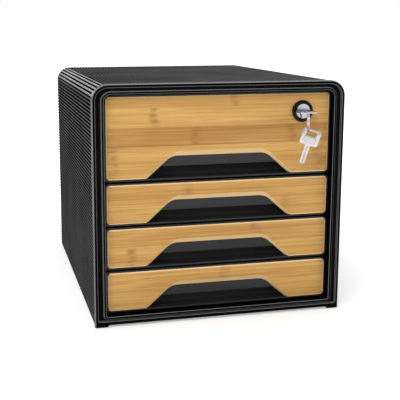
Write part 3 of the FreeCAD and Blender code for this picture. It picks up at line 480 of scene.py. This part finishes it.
@dataclass(frozen=True)
class Rubber(Finish):
    """Soft black rubber with dusty, slightly lighter patches.

    Attributes:
        name: the material's name.
        colour: clean rubber.
        dust: dusty rubber.
        dust_span: noise values over which dust sets in.
        roughness: its roughness.
        patches: size of the dusty patches.
        grain: size of the grain.
        relief: depth of the grain.
    """

    name: str
    colour: Colour = (0.022, 0.022, 0.023)
    dust: Colour = (0.06, 0.058, 0.055)
    dust_span: Span = (0.5, 0.8)
    roughness: float = 0.85
    patches: float = 5 * MM
    grain: float = 0.5 * MM
    relief: float = 0.03 * MM

    def build(self) -> bpy.types.Material:
        """Make the material."""
        surface = Surface(self.name)
        dusty = surface.spread(surface.patches(self.patches, 5.0), self.dust_span)
        colour = surface.blend(dusty, self.colour, self.dust)
        surface.set(Base_Color=colour, Roughness=self.roughness)
        surface.relief(surface.patches(self.grain, 3.0), self.relief)
        return surface.material


@dataclass(frozen=True)
class Strip:
    """One strip of a glued bamboo board.

    Attributes:
        head: height of its upper edge above the desk.
        tone: from 0, brown, to 1, light.
        knuckles: places across of the stem's joints, each as (x, strength).
    """

    head: float
    tone: float
    knuckles: tuple[tuple[float, float], ...] = ()


@dataclass(frozen=True)
class Bamboo(Finish):
    """Caramel bamboo: horizontal strips, long fibres, dark bundles and stem joints, with a painted
    highlight round its outline.

    Attributes:
        name: the material's name.
        foot: height of the board's lower edge above the desk.
        head: height of its upper edge.
        half: half of its width.
        strips: its strips from the bottom up.
        seed: move of the grain, so that no two boards are alike.
        dark: colour of the fibre bundles.
        light: colour of the pith between them.
        joint: colour of stem joints and glue.
        edge: colour of the pale outline: a painted highlight on the board's chamfered edge.
        bevel: colour of the bevelled cutout: the lighter cut wood, lightened further with painted
            light since these faces get little light.
        outline_highlight_width: width of that painted highlight.
        outline_highlight_blur: span over which the painted highlight sets in.
        outline_highlight_strength: share of its colour in the painted highlight.
        seam: half width of a glue line.
        seam_strength: share of the joint's colour in a glue line.
        seam_depth: depth of a glue line in depths of the fibres.
        knuckle_width: reach of a stem joint to either side.
        bevel_span: span of facing the front over which the bevel ends.
        bevel_strength: share of its colour in the bevel.
        roughness: lowest and highest roughness of the fibres.
        rough_span: noise values over which it rises.
        gloss: strength of the shine.
        relief: depth of the fibres.
        drift: slow change of tone.
        fibres: long fibres.
        bundles: short dark dashes.
        ragged: torn look of the stem joints.
        wander: how the stem joints stray to the side.
    """

    name: str
    foot: float
    head: float
    half: float
    strips: tuple[Strip, ...]
    seed: float
    dark: Colour = (0.42, 0.19, 0.045)
    light: Colour = (0.76, 0.455, 0.140)
    joint: Colour = (0.34, 0.145, 0.038)
    edge: Colour = (0.95, 0.78, 0.50)
    bevel: Colour = (1.0, 0.71, 0.36)
    outline_highlight_width: float = 1.3 * MM
    outline_highlight_blur: Span = (-0.4 * MM, 0.6 * MM)
    outline_highlight_strength: float = 0.6
    seam: float = 0.25 * MM
    seam_strength: float = 0.25
    seam_depth: float = 1.5
    knuckle_width: float = 8.5 * MM
    bevel_span: Span = (0.75, 0.98)
    bevel_strength: float = 0.9
    roughness: Span = (0.42, 0.52)
    rough_span: Span = (0.3, 0.7)
    gloss: float = 0.25
    relief: float = 0.03 * MM
    drift: Pattern = Pattern((7.0, 7.0, 60.0), 3.0, MOST, (-0.16, 0.16))
    fibres: Pattern = Pattern((9.0, 60.0, 760.0), 4.0, (0.28, 0.72), (-0.24, 0.22))
    bundles: Pattern = Pattern((30.0, 200.0, 1000.0), 3.0, (0.54, 0.70), (0.0, 0.45))
    ragged: Pattern = Pattern((70.0, 70.0, 320.0), 4.0, (0.35, 0.65), (0.2, 0.95))
    wander: Pattern = Pattern((30.0, 30.0, 90.0), 3.0, (0.2, 0.8), (-4 * MM, 4 * MM))

    @property
    def slot(self) -> str:
        """The same slot name for every board."""
        return "bamboo"

    def build(self) -> bpy.types.Material:
        """Make the material."""
        surface = Surface(self.name)
        shift = (self.seed, 0.0, self.seed)
        tone, joints, seams = self.strip_masks(surface)
        fibre = self.fibres.noise(surface, shift)
        tone = surface.calc("ADD", tone, self.drift.laid(surface, shift))
        grain = surface.spread(fibre, self.fibres.span, self.fibres.to)
        tone = surface.calc("ADD", tone, grain, clamp=True)
        wood = surface.blend(tone, self.dark, self.light)
        wood = surface.blend(self.bundles.laid(surface, shift), wood, self.dark)
        smudge = surface.calc("MULTIPLY", joints, self.ragged.laid(surface, shift))
        wood = surface.blend(smudge, wood, self.joint)
        glue = surface.calc("MULTIPLY", seams, self.seam_strength)
        wood = surface.blend(glue, wood, self.joint)
        # Painted highlight along the board's chamfered outline.
        wood = surface.blend(self.outline_highlight_mask(surface), wood, self.edge)
        # Faces that turn away from the front take the bevel colour: partly the lighter cut wood,
        # partly painted light.
        cut = surface.spread(surface.frontal(), self.bevel_span, (self.bevel_strength, 0.0))
        surface.set(Base_Color=surface.blend(cut, wood, self.bevel))
        rough = surface.spread(fibre, self.rough_span, self.roughness)
        surface.set(Roughness=rough, Specular_IOR_Level=self.gloss)
        sunk = surface.calc("MULTIPLY", seams, self.seam_depth)
        surface.relief(surface.calc("SUBTRACT", fibre, sunk), self.relief)
        return surface.material

    def outline_highlight_mask(self, surface: Surface) -> Socket:
        """Find the painted highlight along the board's outline.

        Args:
            surface: the material in the making.

        Returns:
            Mask of the painted highlight.
        """
        x, z = surface.axes()
        middle = (self.foot + self.head) / 2
        beside = surface.calc("SUBTRACT", surface.calc("ABSOLUTE", x), self.half - self.outline_highlight_width)
        rise = surface.calc("ABSOLUTE", surface.calc("SUBTRACT", z, middle))
        above = surface.calc("SUBTRACT", rise, self.head - middle - self.outline_highlight_width)
        nearest = surface.calc("MAXIMUM", beside, above)
        return surface.spread(nearest, self.outline_highlight_blur, (0.0, self.outline_highlight_strength))

    def strip_masks(self, surface: Surface) -> tuple[Socket, Socket, Socket]:
        """Build the masks that follow the strips.

        Args:
            surface: the material in the making.

        Returns:
            Tone, stem joints and glue seams.
        """
        x, z = surface.axes()
        across = surface.calc("ADD", x, self.wander.laid(surface))
        tone: Value = self.strips[0].tone
        joints: Value = 0.0
        seams: Value = 0.0
        foot = self.foot
        for strip in self.strips:
            above = surface.calc("GREATER_THAN", z, foot)
            below = surface.calc("LESS_THAN", z, strip.head)
            within = surface.calc("MULTIPLY", above, below)
            step = surface.calc("MULTIPLY", within, strip.tone - self.strips[0].tone)
            tone = surface.calc("ADD", tone, step)
            for place, strength in strip.knuckles:
                off = surface.calc("ABSOLUTE", surface.calc("SUBTRACT", across, place))
                spot = surface.spread(off, (0.0, self.knuckle_width), (strength, 0.0))
                joints = surface.calc("ADD", joints, surface.calc("MULTIPLY", spot, within))
            gap = surface.calc("ABSOLUTE", surface.calc("SUBTRACT", z, strip.head))
            line = surface.spread(gap, (0.0, self.seam), (1.0, 0.0))
            seams = surface.calc("ADD", seams, line)
            foot = strip.head
        return tone, joints, seams


# The edge colours of the frame and of the fronts are painted highlights on their rounded edges.
FRAME = MouldedPlastic(
    "frame_plastic",
    (0.001, 0.001, 0.0011),
    roughness=0.22,
    gloss=0.03,
    relief=0.004 * MM,
    edge=(0.26, 0.26, 0.263),
)
FRONT = MouldedPlastic(
    "front_plastic",
    (0.020, 0.020, 0.021),
    roughness=0.30,
    gloss=0.22,
    edge=(0.055, 0.055, 0.056),
)
INNER = MouldedPlastic("inner_plastic", (0.018, 0.018, 0.018), roughness=0.55)
TRAY = MouldedPlastic("tray_plastic", (0.016, 0.016, 0.0165), roughness=0.45, gloss=0.2)
BLACK_ZINC = MouldedPlastic(
    "black_zinc", (0.002, 0.002, 0.002), roughness=0.16, gloss=0.12, relief=0.003 * MM
)
RUBBER = Rubber("rubber")
ZINC = Plated("zinc_steel", (0.62, 0.63, 0.64), roughness=0.30)
CHROME = Plated("chrome", (0.42, 0.43, 0.46), roughness=0.16)
NICKEL = Plated("nickel", (0.47, 0.46, 0.455), roughness=0.20)


def wear(thing: bpy.types.Object, finish: Finish) -> None:
    """Dress an object in one finish.

    Args:
        thing: the object, whose material slots are cleared.
        finish: what it wears.
    """
    thing.data.materials.clear()
    thing.data.materials.append(finish.material())


# ---------------------------------------------------------------- work on meshes


def clear_selection() -> None:
    """Deselect everything, and leave edit mode if it is on."""
    if bpy.context.object and bpy.context.object.mode != "OBJECT":
        bpy.ops.object.mode_set(mode="OBJECT")
    bpy.ops.object.select_all(action="DESELECT")


def take(thing: bpy.types.Object) -> None:
    """Make an object the only selected one and the active one.

    Args:
        thing: the object.
    """
    clear_selection()
    thing.select_set(True)
    bpy.context.view_layer.objects.active = thing


@contextmanager
def editing(thing: bpy.types.Object, pick: str = "FACE") -> Iterator[None]:
    """Edit mode on one object, with nothing selected at its start.

    Args:
        thing: the object.
        pick: VERT, EDGE or FACE.

    Yields:
        Nothing.
    """
    take(thing)
    bpy.ops.object.mode_set(mode="EDIT")
    bpy.ops.mesh.select_mode(type=pick)
    bpy.ops.mesh.select_all(action="DESELECT")
    yield
    bpy.ops.object.mode_set(mode="OBJECT")


def select(thing: bpy.types.Object, kind: str, wanted: Callable) -> None:
    """Select faces or edges in edit mode by a test.

    Args:
        thing: the object in edit mode.
        kind: faces or edges.
        wanted: test of one element.
    """
    bpy.ops.mesh.select_all(action="DESELECT")
    mesh = bmesh.from_edit_mesh(thing.data)
    mesh.normal_update()
    for element in getattr(mesh, kind):
        if wanted(element):
            element.select_set(True)
    mesh.select_flush_mode()
    bmesh.update_edit_mesh(thing.data)


def smooth(thing: bpy.types.Object, angle: float = math.radians(32)) -> None:
    """Shade smooth where neighbouring faces meet at less than an angle."""
    take(thing)
    bpy.ops.object.shade_smooth_by_angle(angle=angle)


def break_edges(thing: bpy.types.Object, width: float, sharp: float = math.radians(40)) -> None:
    """Bevel an object's sharp edges.

    Args:
        thing: the object.
        width: width of the bevel.
        sharp: least angle of an edge that is broken.
    """
    take(thing)
    bevel = thing.modifiers.new("bevel", "BEVEL")
    bevel.width = width
    bevel.segments = 2
    bevel.limit_method = "ANGLE"
    bevel.angle_limit = sharp
    bpy.ops.object.modifier_apply(modifier=bevel.name)


def refined(
    node: str,
    bevel: float = 0.0,
    weld: float = 0.002 * MM,
    flat: float = math.radians(0.5),
) -> bpy.types.Object:
    """Merged copy of a CAD node, with its small edges broken and its round faces shaded smooth.

    Args:
        node: the node that the copy stands for.
        bevel: width of the broken edges.
        weld: distance at which points are merged.
        flat: angle under which faces become one.

    Returns:
        The new piece.
    """
    source = bpy.data.objects[node]
    thing = bpy.data.objects.new(f"{node}_piece", source.data.copy())
    bpy.context.scene.collection.objects.link(thing)
    with editing(thing, "VERT"):
        bpy.ops.mesh.select_all(action="SELECT")
        bpy.ops.mesh.remove_doubles(threshold=weld)
        bpy.ops.mesh.dissolve_limited(angle_limit=flat)
    if bevel:
        break_edges(thing, bevel)
    smooth(thing)
    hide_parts(node)
    return thing


def settle(thing: bpy.types.Object, body: str, finish: Finish) -> None:
    """Dress a new piece and let it ride on its body.

    Args:
        thing: the piece, in place.
        body: the CAD body that carries it.
        finish: what it wears.
    """
    wear(thing, finish)
    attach(thing, body)
    LOG.info("%s rides on %s", thing.name, body)


def dress(node: str, finish: Finish) -> None:
    """Give a CAD node a finish and leave its shape alone."""
    wear(bpy.data.objects[node], finish)
    LOG.info("%s keeps its CAD shape", node)


# ---------------------------------------------------------------- sub-assemblies


@dataclass
class Casing:
    """Everything that stays still: shell, front frame, panels, runners, feet and screws.

    Attributes:
        body: name of its body.
        rib_edge: width of the ribs' broken edges.
    """

    body: str = "casing"
    rib_edge: float = 0.25 * MM

    def build(self) -> None:
        """Build and dress the casing."""
        over_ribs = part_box("casing_shell")[1]
        ribbed = RibbedPlastic("ribbed_plastic", half=over_ribs.x, head=over_ribs.z)
        settle(refined("casing_shell", self.rib_edge), self.body, ribbed)
        settle(refined("front_frame"), self.body, FRAME)
        for node in ("back_panel", "base_panel", "left_runner", "right_runner"):
            dress(node, INNER)
        for node in ("lock_strike", "base_screws", "back_screws"):
            dress(node, ZINC)
        dress("rubber_feet", RUBBER)


@dataclass
class Drawer:
    """One drawer: tray, moulded front, bamboo board and screws.

    Attributes:
        number: its number from the top.
        strips: the strips of its board from the bottom up.
        board_edge: width of the board's broken edges.
        front_edge: width of the moulded front's broken edges.
        grain_step: move of the grain from one board to the next.
    """

    number: int
    strips: tuple[Strip, ...]
    board_edge: float = 0.2 * MM
    front_edge: float = 0.35 * MM
    grain_step: float = 0.731

    @property
    def body(self) -> str:
        """Name of the drawer's body."""
        return f"drawer_{self.number}"

    def build(self) -> None:
        """Build and dress the drawer."""
        board = f"{self.body}_fascia"
        low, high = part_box(board)
        seed = self.number * self.grain_step
        bamboo = Bamboo(f"bamboo_{self.number}", low.z, high.z, high.x, self.strips, seed)
        settle(refined(board, self.board_edge), self.body, bamboo)
        settle(refined(f"{self.body}_front", self.front_edge), self.body, FRONT)
        dress(f"{self.body}_tray", TRAY)
        dress(f"{self.body}_screws", ZINC)


@dataclass
class Lock:
    """Cam lock: black flange and barrel, bright plug, nut and cam.

    Attributes:
        carrier: body that the barrel is screwed to.
        body: body that turns.
    """

    carrier: str = "drawer_1"
    body: str = "lock"

    def build(self) -> None:
        """Build and dress the lock."""
        settle(refined("lock_barrel"), self.carrier, BLACK_ZINC)
        settle(refined("lock_plug"), self.body, CHROME)
        for node in ("lock_nut", "lock_cam", "cam_screw"):
            dress(node, ZINC)


class Side(Enum):
    """The two flat sides of a key."""

    FRONT = 1
    REAR = -1


@dataclass
class Keys:
    """The key in the lock, the ring on its bow and the spare key.

    Attributes:
        edge: width of the keys' broken edges.
        lean: lean of the spare key as it hangs.
        yaw: turn of the ring and the spare key about the vertical.
        seat: place of the ring's wire in the spare key's own frame.
        wall: thickness of a key.
        standoff: the key's shoulder behind the front of the frame.
        panel: blank panel on the bow, as its width, its length and its height over the bow.
        panel_place: middle of the panel before the key's shoulder.
        panel_round: corners of the panel.
        panel_frame: raised frame round the panel's sunk field.
        panel_sink: depth of that field.
    """

    edge: float = 0.18 * MM
    lean: float = math.radians(17)
    yaw: float = math.radians(20)
    seat: Triple = (4.672 * MM, -14.804 * MM, 0.0)
    wall: float = 1.6 * MM
    standoff: float = 4.9 * MM
    panel: Triple = (13.0 * MM, 7.0 * MM, 0.22 * MM)
    panel_place: float = 5.6 * MM
    panel_round: float = 1.6 * MM
    panel_frame: float = 0.7 * MM
    panel_sink: float = 0.16 * MM

    def build(self, joints: list[dict]) -> None:
        """Build and dress the keys.

        Args:
            joints: the record's joints, one of which holds the hanging point.
        """
        settle(refined("key_in_lock", self.edge), "key", NICKEL)
        settle(refined("spare_key", self.edge), "spare", NICKEL)
        settle(refined("key_ring"), "ring", NICKEL)
        places = {"key": self.inserted(), "spare": self.hanging(joints)}
        for side in Side:
            for body, place in places.items():
                self.make_panel(f"{body}_panel_{side.name.lower()}", side, place, body)

    def inserted(self) -> Matrix:
        """Place of the key in the lock: its shoulder on the plug's axis."""
        low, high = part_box("lock_plug")
        shoulder = (low + high) / 2
        shoulder.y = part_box("front_frame")[0].y + self.standoff
        return Matrix.Translation(shoulder)

    def hanging(self, joints: list[dict]) -> Matrix:
        """Find how the spare key hangs.

        Args:
            joints: the record's joints.

        Returns:
            Its place and turn: blade down, turned and leaning.
        """
        blade_down = Matrix.Rotation(math.pi, 4, "Z") @ Matrix.Rotation(-math.pi / 2, 4, "X")
        leaning = Matrix.Rotation(self.lean, 4, "Y") @ blade_down
        turn = Matrix.Rotation(-self.yaw, 4, "Z") @ leaning
        hang = Vector(next(joint for joint in joints if joint["name"] == "spare_swing")["pos_m"])
        return Matrix.Translation(hang - turn.to_3x3() @ Vector(self.seat)) @ turn

    def make_panel(self, name: str, side: Side, place: Matrix, body: str) -> None:
        """Blank panel with a raised frame, on one flat side of a bow.

        Args:
            name: the piece's name.
            side: the flat side that carries it.
            place: the key's place and turn.
            body: the body that the key rides on.
        """
        width, length, height = self.panel
        middle = (0.0, -self.panel_place, side.value * self.wall / 2)
        size = (width, length, 2 * height)
        clear_selection()
        bpy.ops.mesh.primitive_cube_add(size=1.0, location=middle, scale=size)
        thing = bpy.context.object
        thing.name = name
        bpy.ops.object.transform_apply(location=True, rotation=True, scale=True)
        with editing(thing, "EDGE"):
            select(thing, "edges", lambda e: abs(e.verts[0].co.z - e.verts[1].co.z) > height)
            bpy.ops.mesh.bevel(offset=self.panel_round, segments=4, affect="EDGES")
        with editing(thing, "FACE"):
            select(thing, "faces", lambda f: f.normal.z * side.value > 0.9)
            bpy.ops.mesh.inset(thickness=self.panel_frame, depth=0.0)
            bpy.ops.mesh.inset(thickness=self.panel_sink, depth=-self.panel_sink)
        thing.data.transform(place)
        smooth(thing)
        settle(thing, body, NICKEL)


# ---------------------------------------------------------------- studio


@dataclass(frozen=True)
class Softbox:
    """Rectangular lamp that looks at a point.

    Attributes:
        name: its name.
        place: where it hangs.
        target: what it looks at.
        size: width and height of its face.
        power: watts.
    """

    name: str
    place: Triple
    target: Triple
    size: tuple[float, float]
    power: float

    def build(self) -> None:
        """Hang the lamp."""
        lamp = bpy.data.lights.new(self.name, "AREA")
        lamp.shape = "RECTANGLE"
        lamp.size, lamp.size_y = self.size
        lamp.energy = self.power
        thing = bpy.data.objects.new(self.name, lamp)
        bpy.context.scene.collection.objects.link(thing)
        aim = (Vector(self.target) - Vector(self.place)).to_track_quat("-Z", "Y")
        thing.matrix_world = Matrix.Translation(self.place) @ aim.to_matrix().to_4x4()


@dataclass
class Studio:
    """Pale floor, soft lamps, plain surroundings and the camera.

    Attributes:
        left_of_front: the camera's place across from the frame's left side, negative to its left.
        before_front: the camera's distance before the frame.
        eye_height: the camera's height above the desk.
        turn: the camera's turn to the right, in radians.
        pitch: its tilt upwards, in radians.
        roll: its roll, in radians.
        lens: focal length in millimetres, for a sensor of the usual 36.
        shift: shift of the picture across and up, as shares of its width.
        near: nearest distance that the camera sees.
        floor_side: side of the floor.
        floor_colour: colour that the floor throws light back with.
        surround: strength of the surroundings as light.
        floor_glow: own glow of the floor in the picture, near the object and far from it.
        glow_reach: distances from the object's middle at which it has those strengths.
        lamps: the lamps.
    """

    left_of_front: float = -115.94 * MM
    before_front: float = 840.88 * MM
    eye_height: float = 330.02 * MM
    turn: float = 0.23416
    pitch: float = -0.17854
    roll: float = -0.00112
    lens: float = 72.878
    shift: tuple[float, float] = (0.075, -0.075)
    near: float = 0.01
    floor_side: float = 14.0
    floor_colour: Colour = (0.86, 0.86, 0.86)
    surround: float = 0.45
    floor_glow: Span = (0.37, 1.0)
    glow_reach: Span = (0.24, 0.62)
    lamps: tuple[Softbox, ...] = (
        Softbox("key_softbox", (-1.1, -1.5, 1.5), (0.0, 0.0, 0.12), (1.2, 1.2), 19.5),
        Softbox("top_softbox", (-0.2, 0.3, 1.7), (0.0, 0.0, 0.1), (1.6, 1.2), 12.5),
        Softbox("right_softbox", (1.5, -1.0, 0.8), (0.0, 0.0, 0.12), (0.7, 1.4), 7.5),
        Softbox("rear_strip", (-0.45, 2.0, 0.40), (-0.14, 0.1, 0.25), (0.3, 0.3), 3.5),
        Softbox("left_strip", (-0.75, -0.75, 0.12), (-0.14, -0.17, 0.12), (0.02, 0.3), 0.14),
        Softbox("low_right_strip", (0.95, -0.3, 0.12), (0.14, -0.17, 0.12), (0.02, 0.3), 0.16),
    )

    def build(self) -> None:
        """Set up everything round the object."""
        self.set_camera()
        self.set_world()
        self.lay_floor()
        for lamp in self.lamps:
            lamp.build()
        bpy.context.scene.view_settings.view_transform = "Standard"

    def set_camera(self) -> None:
        """Stand the camera in front of the casing, to its left."""
        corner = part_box("front_frame")[0]
        across, before = corner.x + self.left_of_front, corner.y - self.before_front
        turn = (
            Matrix.Rotation(-self.turn, 4, "Z")
            @ Matrix.Rotation(math.pi / 2 + self.pitch, 4, "X")
            @ Matrix.Rotation(self.roll, 4, "Z")
        )
        lens = bpy.data.cameras.new("camera")
        lens.lens = self.lens
        lens.shift_x, lens.shift_y = self.shift
        lens.clip_start = self.near
        camera = bpy.data.objects.new("camera", lens)
        camera.matrix_world = Matrix.Translation((across, before, self.eye_height)) @ turn
        bpy.context.scene.collection.objects.link(camera)
        bpy.context.scene.camera = camera

    def set_world(self) -> None:
        """White to the camera and in reflections, softer as light."""
        world = bpy.data.worlds.new("surroundings")
        world.use_nodes = True
        wiring = Wiring(world.node_tree)
        background = world.node_tree.nodes["Background"]
        strength = wiring.spread(wiring.seen(), (0.0, 1.0), (self.surround, 1.0))
        wiring.feed(background.inputs["Color"], WHITE)
        wiring.feed(background.inputs["Strength"], strength)
        bpy.context.scene.world = world

    def lay_floor(self) -> None:
        """Pale floor that fades to white in the picture and keeps the object's shadow."""
        clear_selection()
        bpy.ops.mesh.primitive_plane_add(size=self.floor_side)
        floor = bpy.context.object
        floor.name = "floor"
        surface = Surface("floor")
        surface.set(Base_Color=(*self.floor_colour, 1.0), Roughness=1.0, Specular_IOR_Level=0.0)
        away = surface.node("ShaderNodeVectorMath", {"Vector": surface.place}, operation="LENGTH")
        glow = surface.spread(away.outputs["Value"], self.glow_reach, self.floor_glow)
        strength = surface.calc("MULTIPLY", surface.seen(), glow)
        surface.set(Emission_Color=WHITE, Emission_Strength=strength)
        floor.data.materials.append(surface.material)


# Strips of the four boards from the bottom up: upper edge, tone and stem joints.
TOP_BOARD = (
    Strip(178.3 * MM, 0.62, ((-118.7 * MM, 0.5), (117.2 * MM, 0.6))),
    Strip(199.1 * MM, 0.68, ((-118.7 * MM, 0.6), (116.8 * MM, 0.5))),
    Strip(219.9 * MM, 0.30, ((-29.4 * MM, 0.8), (84.0 * MM, 0.7))),
    Strip(240.7 * MM, 0.74, ((-74.3 * MM, 0.8),)),
    Strip(260.0 * MM, 0.58, ((18.5 * MM, 0.8),)),
)
SECOND_BOARD = (
    Strip(136.5 * MM, 0.64, ((76.0 * MM, 0.6),)),
    Strip(170.0 * MM, 0.56, ((-37.2 * MM, 0.7),)),
)
THIRD_BOARD = (
    Strip(86.5 * MM, 0.60, ((-102.3 * MM, 0.8),)),
    Strip(120.0 * MM, 0.54, ((41.0 * MM, 0.8),)),
)
FOURTH_BOARD = (
    Strip(38.0 * MM, 0.58, ()),
    Strip(70.0 * MM, 0.60, ((5.7 * MM, 0.8),)),
)
BOARDS = (TOP_BOARD, SECOND_BOARD, THIRD_BOARD, FOURTH_BOARD)


def main() -> None:
    """Build the looks around the frame, piece by piece."""
    logging.basicConfig(level=logging.INFO, format="%(message)s")
    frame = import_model()
    Casing().build()
    for number, strips in enumerate(BOARDS, start=1):
        Drawer(number, strips).build()
    Lock().build()
    Keys().build(frame["joints"])
    Studio().build()


if __name__ == "__main__":
    main()
